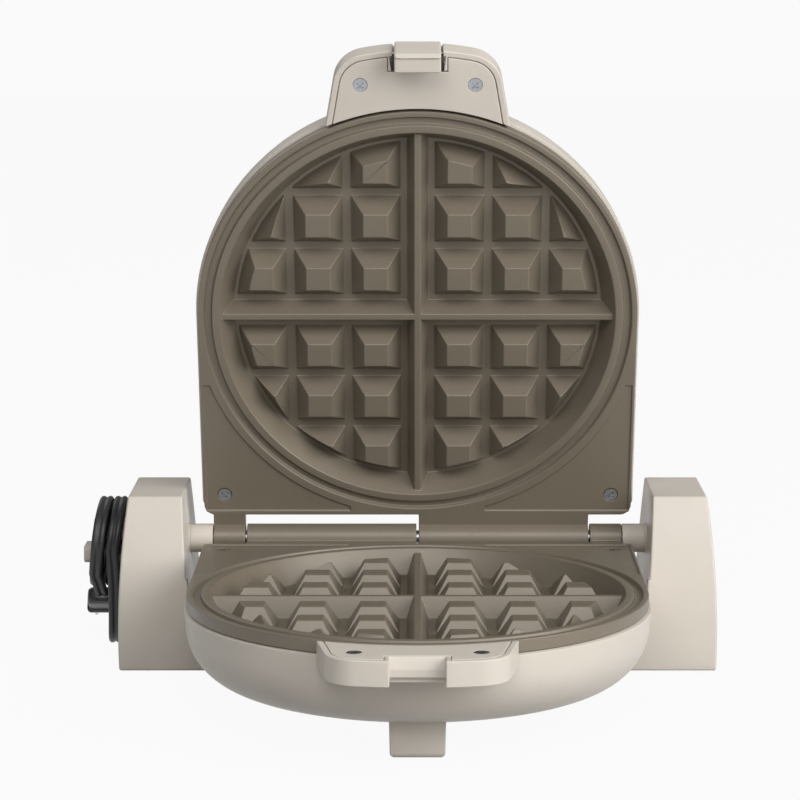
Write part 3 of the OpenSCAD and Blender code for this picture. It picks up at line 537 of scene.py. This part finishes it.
def rounded_copy(node: str, radius: float) -> bpy.types.Object:
    """Redraws a frame node with small radii along its sharp edges.

    Args:
        node: The frame node.
        radius: Width of the rounding, in metres.

    Returns:
        The new piece, which replaces the node and rides on its body.
    """
    source = bpy.data.objects[node]
    shape = bmesh.new()
    shape.from_mesh(source.data)
    bmesh.ops.remove_doubles(shape, verts=shape.verts, dist=WELD)
    bmesh.ops.dissolve_degenerate(shape, edges=shape.edges, dist=WELD)
    merge_flat_patches(shape)
    mesh = bpy.data.meshes.new(f"{node}_moulded")
    shape.to_mesh(mesh)
    shape.free()
    piece = new_piece(mesh.name, mesh)
    bevel = piece.modifiers.new("round", "BEVEL")
    bevel.width = radius
    bevel.segments = ROUND_STRIPS
    bevel.limit_method = "ANGLE"
    bevel.angle_limit = math.radians(ROUND_ABOVE)
    bevel.use_clamp_overlap = False
    bevel.loop_slide = False
    apply_modifiers(piece)
    smooth_by_angle(piece.data, SMOOTH_BELOW)
    level = piece.modifiers.new("level", "WEIGHTED_NORMAL")
    level.mode = "FACE_AREA"
    level.weight = FACE_WEIGHT
    level.keep_sharp = True
    apply_modifiers(piece)
    body = source["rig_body"]
    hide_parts(node)
    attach(piece, body)
    return piece


def skin(shape: bmesh.types.BMesh, rings: list[list[bmesh.types.BMVert]]) -> None:
    """Joins a row of rings into a closed skin.

    Args:
        shape: The mesh that holds their points.
        rings: The rings in order, each with as many points.
    """
    count = len(rings[0])
    for low, high in zip(rings, rings[1:]):
        for k in range(count):
            n = (k + 1) % count
            shape.faces.new((low[k], low[n], high[n], high[k]))
    shape.faces.new(rings[0])
    shape.faces.new(rings[-1])


def finished_mesh(shape: bmesh.types.BMesh, name: str, degrees: float) -> bpy.types.Mesh:
    """Turns a shape's faces outwards and ends it.

    Args:
        shape: The shape, which is used up.
        name: The mesh's name.
        degrees: Edges that turn less than this are shaded smooth.

    Returns:
        The mesh.
    """
    bmesh.ops.recalc_face_normals(shape, faces=shape.faces)
    mesh = bpy.data.meshes.new(name)
    shape.to_mesh(mesh)
    shape.free()
    smooth_by_angle(mesh, degrees)
    return mesh


def tube_mesh(
    name: str,
    path: list[Vector],
    outline: list[Span],
    scale: list[Span] | None = None,
) -> bpy.types.Mesh:
    """Sweeps an outline along a path, keeping its wide way along X.

    Args:
        name: The mesh's name.
        path: The centre points.
        outline: Points of the section, (across, up).
        scale: A stretch of the outline at each point, (across, up), or none.

    Returns:
        A closed mesh.
    """
    shape = bmesh.new()
    across = Vector((1, 0, 0))
    rings = []
    for i, point in enumerate(path):
        ahead = (path[min(i + 1, len(path) - 1)] - path[max(i - 1, 0)]).normalized()
        side = (across - across.dot(ahead) * ahead).normalized()
        up = side.cross(ahead)
        sx, sy = scale[i] if scale else (1.0, 1.0)
        rings.append([shape.verts.new(point + side * (u * sx) + up * (v * sy)) for u, v in outline])
    skin(shape, rings)
    return finished_mesh(shape, name, degrees=50.0)


def rounded_rectangle(half_w: float, half_h: float, corner: float) -> list[Span]:
    """Points round a rectangle with round corners.

    Args:
        half_w: Half its width.
        half_h: Half its height.
        corner: Radius of its corners.

    Returns:
        The points, in order.
    """
    steps = 6  # in each corner
    corner = min(corner, half_w, half_h)
    points = []
    for quarter, (sx, sy) in enumerate(((1, 1), (-1, 1), (-1, -1), (1, -1))):
        middle_x, middle_y = sx * (half_w - corner), sy * (half_h - corner)
        for k in range(steps + 1):
            turn = math.radians(90 * (quarter + k / steps))
            points.append((middle_x + corner * math.cos(turn), middle_y + corner * math.sin(turn)))
    return points


def ease(share: float) -> float:
    """A smooth step from 0 to 1."""
    share = min(1.0, max(0.0, share))
    return share * share * (3 - 2 * share)


# ---------------------------------------------------------------- the cord


@dataclass
class WoundCord:
    """The flat twin cord: out of its relief, wound double on the wrap, into its plug. Sizes in mm."""

    width: float = 6.8
    thickness: float = 3.4
    web: float = 0.62  # thickness of the web as a share of the cores'
    wrap_height: float = 59.2
    layers: tuple[float, float, float] = (22.3, 18.9, 15.5)
    step_in: tuple[int, int] = (245, 90)  # at what angle a turn starts to step inwards, and over how much
    supply_x: float = -157.7
    plug_x: float = -165.3
    tilt: float = 0.125
    sway: Span = (0.1, 0.08)  # how far a turn strays from its plane, in two waves
    waves: Span = (3.1, 1.7)  # how quickly each of them comes round again
    turn_step: int = 10
    supply_end: int = 1060  # degrees of the winding: the supply bundle, then the plug's
    plug_ends: tuple[int, int] = (160, -760)
    point_gap: float = 2.4
    last_gap: float = 0.4  # the least gap before the cord's end, as a share of the others
    run: tuple[Point, ...] = (
        (-157.8, 24, 10.5), (-157.8, 17, 10.5), (-157.8, 10, 10.2), (-157.8, 3, 9.7),
        (-157.7, -4, 9.2), (-157.6, -10.2, 9.3), (-157.4, -15.0, 10.7), (-157.1, -18.9, 13.8),
        (-156.8, -21.3, 18.4), (-156.6, -22.2, 24.3), (-156.6, -22.3, 30), (-156.6, -22.3, 36.5),
        (-156.7, -22.4, 43), (-157, -22.4, 49.5),
    )
    # From the front of the supply bundle to the middle of the wrap's slot, measured from that middle
    entry: tuple[Point, ...] = (
        (3.2, -14.75, -3.4), (2.9, -14.2, -1.4), (2.5, -12.9, 0.3), (2.0, -11.0, 1.5),
        (1.5, -8.7, 2.0), (0.8, -4.0, 1.3),
    )
    tail: tuple[Point, ...] = (
        (-166.1, -15.7, 42.4), (-165.6, -14.5, 39.7), (-165.0, -13.4, 37.2),
        (-164.6, -12.2, 35.2), (-164.3, -10.3, 33.8), (-164.3, -7.2, 32.2),
    )
    path: list[Vector] = field(default_factory=list)

    def _wrapped(self, angle: float, radius: float, middle: float) -> Point:
        """A point of a turn, a little out of its plane: 0 degrees is the front and 90 the top."""
        a = math.radians(angle)
        rise = radius * math.sin(a)
        (wide, narrow), (quick, slow) = self.sway, self.waves
        loose = wide * math.sin(quick * a + middle) + narrow * math.sin(slow * a)
        return (middle + self.tilt * rise + loose, -radius * math.cos(a), self.wrap_height + rise)

    def _layer(self, turned: float) -> float:
        """Radius of the winding after so many degrees: each turn steps inwards below the front."""
        start, over = self.step_in
        radius = self.layers[0]
        for turn in (0, 1):
            step = self.layers[turn] - self.layers[turn + 1]
            radius -= step * ease((turned - 360 * turn - start) / over)
        return radius

    def route(self) -> list[Vector]:
        """Works out the whole centreline, in metres.

        The cord is folded in the slot, so both bundles step inwards towards it.
        """
        middle, height = (self.supply_x + self.plug_x) / 2, self.wrap_height
        start, end = self.plug_ends
        two_turns = 2 * 360
        points = list(self.run)
        for angle in range(0, self.supply_end + 1, self.turn_step):
            points.append(self._wrapped(angle, self._layer(angle), self.supply_x))
        points += [(middle + x, y, height + z) for x, y, z in self.entry]
        points.append((middle, 0.0, height))
        points += [(middle - x, -y, height - z) for x, y, z in reversed(self.entry)]
        for angle in range(start, end - 1, -self.turn_step):
            points.append(self._wrapped(angle, self._layer(two_turns + angle), self.plug_x))
        points += self.tail
        return [(p + HINGE_LINE) * MM for p in self._spaced([Vector(p) for p in points])]

    def _spaced(self, points: list[Vector]) -> list[Vector]:
        """Draws a smooth curve through a route's points and sets new points along it, evenly."""
        parts, gap = 8, self.point_gap
        curve: list[Vector] = []
        for i in range(len(points) - 1):
            p0, p1 = points[max(i - 1, 0)], points[i]
            p2, p3 = points[i + 1], points[min(i + 2, len(points) - 1)]
            for k in range(parts):
                t = k / parts
                curve.append(
                    0.5 * (2 * p1 + (p2 - p0) * t + (2 * p0 - 5 * p1 + 4 * p2 - p3) * t * t
                           + (3 * p1 - p0 - 3 * p2 + p3) * t * t * t)
                )
        curve.append(points[-1])
        spaced, travelled, due = [curve[0]], 0.0, gap
        for a, b in zip(curve, curve[1:]):
            part = (b - a).length
            while part > 0 and travelled + part >= due:
                spaced.append(a.lerp(b, (due - travelled) / part))
                due += gap
            travelled += part
        if (spaced[-1] - curve[-1]).length > gap * self.last_gap:
            spaced.append(curve[-1])
        return spaced

    def section(self) -> list[Span]:
        """The twin outline: two round cores joined by a thinner web."""
        count, tiny = 28, 1e-6
        lobe = self.thickness / 2
        centre = self.width / 2 - lobe
        web = lobe * self.web
        points = []
        for k in range(count):
            a = 2 * math.pi * k / count
            c, s = abs(math.cos(a)), max(abs(math.sin(a)), tiny)
            under = lobe * lobe - (centre * s) ** 2
            reach = centre * c + math.sqrt(under) if under > 0 else 0.0
            if web * c / s <= centre:
                reach = max(reach, web / s)
            points.append((reach * math.cos(a) * MM, reach * math.sin(a) * MM))
        return points

    def build(self, paint: Paintbox, with_pieces: list[bpy.types.Object]) -> bpy.types.Object:
        """Args:
            paint: The finishes.
            with_pieces: The pieces on it; not used.

        Returns:
            The cord.
        """
        self.path = self.route()
        piece = new_piece("flat_twin_cord", tube_mesh("flat_twin_cord", self.path, self.section()))
        paint.coat(piece, Finish.CORD)
        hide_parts("cord_run", "cord_coil", "cord_tail")
        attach(piece, "stand")
        length = sum((b - a).length for a, b in zip(self.path, self.path[1:]))
        log.info("cord: %.3f m of centreline", length)
        return piece


# ---------------------------------------------------------------- small black pieces


@dataclass
class Plug:
    """The moulded plug at the cord's end and its two blades. Sizes in mm."""

    start: Point = (-164.3, -10.3, 33.8)
    turn: float = 27.0
    length: float = 19.0
    # Distance along the plug, half width, half height and corner radius
    stations: tuple[tuple[float, float, float, float], ...] = (
        (-0.4, 3.9, 2.3, 2.2), (0.0, 4.4, 2.7, 2.6), (0.9, 4.4, 2.7, 2.6), (1.1, 5.4, 3.1, 3.0),
        (1.9, 5.4, 3.1, 3.0), (2.1, 6.6, 3.6, 3.3), (2.9, 7.4, 4.0, 3.2), (4.0, 8.0, 4.35, 2.6),
        (6.0, 8.25, 4.5, 1.9), (14.0, 8.4, 4.6, 1.6), (15.6, 8.5, 4.65, 1.6), (16.0, 9.0, 5.1, 1.8),
        (16.25, 9.4, 5.55, 2.0), (16.6, 9.6, 5.75, 2.0), (18.5, 9.6, 5.75, 2.0), (18.85, 9.45, 5.6, 1.9),
        (19.0, 9.1, 5.25, 1.6),
    )
    blade_half: Span = (0.75, 3.15)  # half thickness and half width
    blade_reach: float = 16.0
    blade_offset: float = 6.35
    blade_bevel: Span = (0.3, 0.35)  # down from the flat and in from the rim
    # The corner points of a blade's tip: back from its end and in from its side
    blade_tip: tuple[Span, ...] = ((1.6, 0.0), (0.5, 0.8), (0.0, 1.9))

    def _frame(self) -> Matrix:
        """The plug's own frame: Y runs from the cord to the blades."""
        place = Matrix.Translation((Vector(self.start) + HINGE_LINE) * MM)
        return place @ Matrix.Rotation(-math.radians(self.turn), 4, "X")

    def build(self, paint: Paintbox) -> list[bpy.types.Object]:
        """Makes the body and the blades.

        Args:
            paint: The finishes.

        Returns:
            The body and the blades.
        """
        body, blades = self._body(), self._blades()
        paint.coat(body, Finish.PLUG)
        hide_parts("plug_body")
        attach(body, "stand")
        paint.coat(blades, Finish.BLADES)
        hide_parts("plug_blades")
        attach(blades, "stand")
        return [body, blades]

    def _body(self) -> bpy.types.Object:
        """The stepped grip with its flange."""
        shape = bmesh.new()
        frame = self._frame()
        rings = []
        for along, w, h, corner in self.stations:
            outline = rounded_rectangle(w, h, corner)
            rings.append([shape.verts.new(frame @ Vector((u * MM, along * MM, v * MM))) for u, v in outline])
        skin(shape, rings)
        return new_piece("plug_moulding", finished_mesh(shape, "plug_moulding", degrees=38.0))

    def _blades(self) -> bpy.types.Object:
        """Two flat blades with tapered tips and bevelled rims."""
        shape = bmesh.new()
        frame = self._frame()
        half_t, half_w = self.blade_half
        down, inset = self.blade_bevel
        tip = [(self.blade_reach - back, half_w - inwards) for back, inwards in self.blade_tip]
        side_points = [(0.0, half_w), *tip]
        outline = [(y, -z) for y, z in side_points] + side_points[::-1]
        layers = ((-inset, -half_t), (0.0, down - half_t), (0.0, half_t - down), (-inset, half_t))
        for side in (-1, 1):
            rings = []
            for grow, x in layers:
                ring = []
                for y, z in outline:
                    along = self.length + y + (grow if y > 0 else 0.0)
                    across, up = side * self.blade_offset + x, z * (1 + grow / half_w)
                    ring.append(shape.verts.new(frame @ Vector((across * MM, along * MM, up * MM))))
                rings.append(ring)
            skin(shape, rings)
        return new_piece("plug_blades_formed", finished_mesh(shape, "plug_blades_formed", degrees=30.0))


@dataclass
class StrainRelief:
    """The ribbed, tapering sleeve that the cord leaves the tower by. Sizes in mm."""

    start: Point = (-157.8, 24.0, 10.5)
    length: float = 22.0
    ribs: int = 6
    rings_per_rib: int = 4
    groove: float = 0.93  # size of the section between two ribs
    grooved: Span = (0.05, 0.8)  # the share of the length that has grooves
    half: Span = (3.9, 2.2)  # half width and half height at the cord
    growth: Span = (0.7, 2.0)  # what they gain up to the tower
    corner: float = 2.1
    neck_radius: float = 4.0
    neck_length: float = 9.5
    neck_x: float = -153.05
    neck_inset: float = 5.0  # from the sleeve's end to the neck's middle

    def build(self, paint: Paintbox) -> bpy.types.Object:
        """Makes the sleeve and the neck that turns into the tower.

        Args:
            paint: The finishes.

        Returns:
            The sleeve.
        """
        x, y, z = self.start
        half_w, half_h = self.half
        wider, higher = self.growth
        low, high = self.grooved
        count = self.ribs * self.rings_per_rib
        path, scale = [], []
        for i in range(count + 1):
            share = i / count
            path.append((Vector((x, y + self.length * share, z)) + HINGE_LINE) * MM)
            between_ribs = i % self.rings_per_rib == self.rings_per_rib // 2
            size = self.groove if between_ribs and low < share < high else 1.0
            across = (half_w + wider * share) / half_w
            upwards = (half_h + higher * share) / half_h
            scale.append((across * size, upwards * size))
        outline = [(u * MM, v * MM) for u, v in rounded_rectangle(half_w, half_h, self.corner)]
        mesh = tube_mesh("strain_sleeve", path, outline, scale)
        shape = bmesh.new()
        shape.from_mesh(mesh)
        radius = self.neck_radius * MM
        neck = bmesh.ops.create_cone(
            shape, cap_ends=True, segments=32, radius1=radius, radius2=radius, depth=self.neck_length * MM
        )
        middle = Vector((self.neck_x, y + self.length - self.neck_inset, z)) + HINGE_LINE
        place = Matrix.Translation(middle * MM) @ Matrix.Rotation(math.radians(90), 4, "Y")
        bmesh.ops.transform(shape, matrix=place, verts=neck["verts"])
        shape.to_mesh(mesh)
        shape.free()
        smooth_by_angle(mesh, degrees=32.0)
        piece = new_piece("strain_sleeve", mesh)
        paint.coat(piece, Finish.PLUG)
        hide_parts("strain_relief")
        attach(piece, "stand")
        return piece


# ---------------------------------------------------------------- sub-assemblies


@dataclass
class Mouldings:
    """A group of frame nodes that get rounded edges, with radii in mm, and one finish."""

    radii: dict[str, float]
    finish: Finish

    def build(self, paint: Paintbox) -> None:
        """Redraws and coats each node."""
        for node, radius in self.radii.items():
            piece = rounded_copy(node, radius * MM)
            paint.coat(piece, self.finish)
            log.info("%s: rounded by %.2f mm, %d faces", node, radius, len(piece.data.polygons))


@dataclass
class Stand:
    """The towers, the tie rail, the axle and the cord wrap."""

    mouldings: Mouldings = field(default_factory=lambda: Mouldings(
        {"left_tower_housing": 1.1, "right_tower_housing": 1.1, "tie_rail": 0.4, "cord_wrap": 0.5,
         "pivot_bushings": 0.3, "pivot_sleeves": 0.3},
        Finish.HOUSING,
    ))
    plain: tuple[tuple[str, Finish], ...] = (
        ("left_base_plate", Finish.HOUSING), ("right_base_plate", Finish.HOUSING),
        ("base_feet", Finish.RUBBER), ("base_screws", Finish.STEEL), ("rail_dowels", Finish.STEEL),
        ("hinge_axle", Finish.STEEL), ("axle_clips", Finish.STEEL), ("terminal_block", Finish.CERAMIC),
    )

    def build(self, paint: Paintbox, nodes: dict[str, bpy.types.Object]) -> None:
        """Dresses the stand."""
        self.mouldings.build(paint)
        for node, finish in self.plain:
            paint.coat(nodes[node], finish)


@dataclass
class Half:
    """One cooking half: its cast plate, housing, foot, handle and heating parts."""

    prefix: str

    def build(self, paint: Paintbox, nodes: dict[str, bpy.types.Object]) -> None:
        """Dresses the half."""
        p = self.prefix
        shells = {
            f"{p}_housing": 0.5, f"{p}_front_foot": 0.6, f"{p}_handle_body": 0.6,
            f"{p}_handle_cover": 0.35,
        }
        Mouldings({f"{p}_grid_plate": 0.45}, Finish.PLATE).build(paint)
        Mouldings(shells, Finish.HOUSING).build(paint)
        for name, finish in (
            ("screws", Finish.STEEL), ("heater", Finish.HEATER), ("reflector", Finish.REFLECTOR),
            ("thermostat", Finish.CERAMIC),
        ):
            paint.coat(nodes[f"{p}_{name}"], finish)


@dataclass
class Latch:
    """The lid's swinging latch with its pin and springs."""

    def build(self, paint: Paintbox, nodes: dict[str, bpy.types.Object]) -> None:
        """Dresses the latch."""
        Mouldings({"latch": 0.9}, Finish.HOUSING).build(paint)
        for node in ("latch_pin", "latch_springs"):
            paint.coat(nodes[node], Finish.STEEL)


# ---------------------------------------------------------------- studio


@dataclass
class Studio:
    """A white table, soft lamps and the camera. Places in metres."""

    eye: Point = (0.0, -1.4518, 0.3658)
    pitch: float = 8.8
    lens: float = 131.1
    shift: float = -0.0220
    aim: Point = (0.0, 0.0, 0.12)
    table_reach: float = 6.0
    ambient: float = 0.27
    # As bright as the table looks, so that no horizon shows
    backdrop: float = 0.953

    def camera(self) -> None:
        """Places the camera."""
        data = bpy.data.cameras.new("view")
        data.lens = self.lens
        data.sensor_width = 36
        data.shift_x = self.shift
        data.clip_start = 0.05
        camera = bpy.data.objects.new("view", data)
        camera.location = self.eye
        camera.rotation_euler = (math.radians(90 - self.pitch), 0, 0)
        bpy.context.scene.collection.objects.link(camera)
        bpy.context.scene.camera = camera

    def floor(self) -> None:
        """Lays the table top."""
        shape = bmesh.new()
        bmesh.ops.create_grid(shape, x_segments=1, y_segments=1, size=self.table_reach)
        mesh = bpy.data.meshes.new("table_top")
        shape.to_mesh(mesh)
        shape.free()
        mesh.materials.append(White("studio_white").dress())
        new_piece("table_top", mesh)

    def lamp(self, name: str, at: Point, size: Span, power: float) -> None:
        """Hangs one soft box that points at the model.

        Args:
            name: Its name.
            at: Where it hangs.
            size: Width and height, in metres.
            power: Its power, in watts.
        """
        data = bpy.data.lights.new(name, "AREA")
        data.shape = "RECTANGLE"
        data.size, data.size_y = size
        data.energy = power
        lamp = bpy.data.objects.new(name, data)
        lamp.location = at
        lamp.rotation_euler = (Vector(self.aim) - Vector(at)).to_track_quat("-Z", "Y").to_euler()
        bpy.context.scene.collection.objects.link(lamp)

    def lights(self) -> None:
        """Sets the lamps and the world."""
        self.lamp("key", (1.35, -1.08, 0.86), (1.9, 1.5), 42)
        self.lamp("fill", (-0.2, -1.45, 1.3), (1.2, 0.9), 14)
        self.lamp("back", (-0.9, 1.2, 1.1), (1.0, 0.8), 3)
        world = bpy.data.worlds.new("studio")
        world.use_nodes = True
        bpy.context.scene.world = world
        tree = world.node_tree
        tree.nodes.clear()
        path = tree.nodes.new("ShaderNodeLightPath")
        seen = tree.nodes.new("ShaderNodeMath")
        seen.operation = "MAXIMUM"
        tree.links.new(path.outputs["Is Camera Ray"], seen.inputs[0])
        tree.links.new(path.outputs["Is Transmission Ray"], seen.inputs[1])
        level = tree.nodes.new("ShaderNodeMapRange")
        level.inputs["To Min"].default_value = self.ambient
        level.inputs["To Max"].default_value = self.backdrop
        tree.links.new(seen.outputs[0], level.inputs["Value"])
        sky = tree.nodes.new("ShaderNodeBackground")
        sky.inputs["Color"].default_value = (1, 1, 1, 1)
        tree.links.new(level.outputs["Result"], sky.inputs["Strength"])
        output = tree.nodes.new("ShaderNodeOutputWorld")
        tree.links.new(sky.outputs[0], output.inputs["Surface"])

    def build(self) -> None:
        """Sets up the whole studio."""
        bpy.context.scene.view_settings.view_transform = "Standard"
        self.camera()
        self.floor()
        self.lights()


def main() -> None:
    """Builds the scene, piece by piece."""
    logging.basicConfig(level=logging.INFO, format="%(name)s: %(message)s")
    for stale in list(bpy.data.objects):
        bpy.data.objects.remove(stale)
    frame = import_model()
    nodes = frame["nodes"]
    paint = Paintbox()
    Studio().build()
    plug = Plug().build(paint)
    sleeve = StrainRelief().build(paint)
    WoundCord().build(paint, [*plug, sleeve])
    Stand().build(paint, nodes)
    for prefix in ("lower", "lid"):
        Half(prefix).build(paint, nodes)
    Latch().build(paint, nodes)


if __name__ == "__main__":
    main()
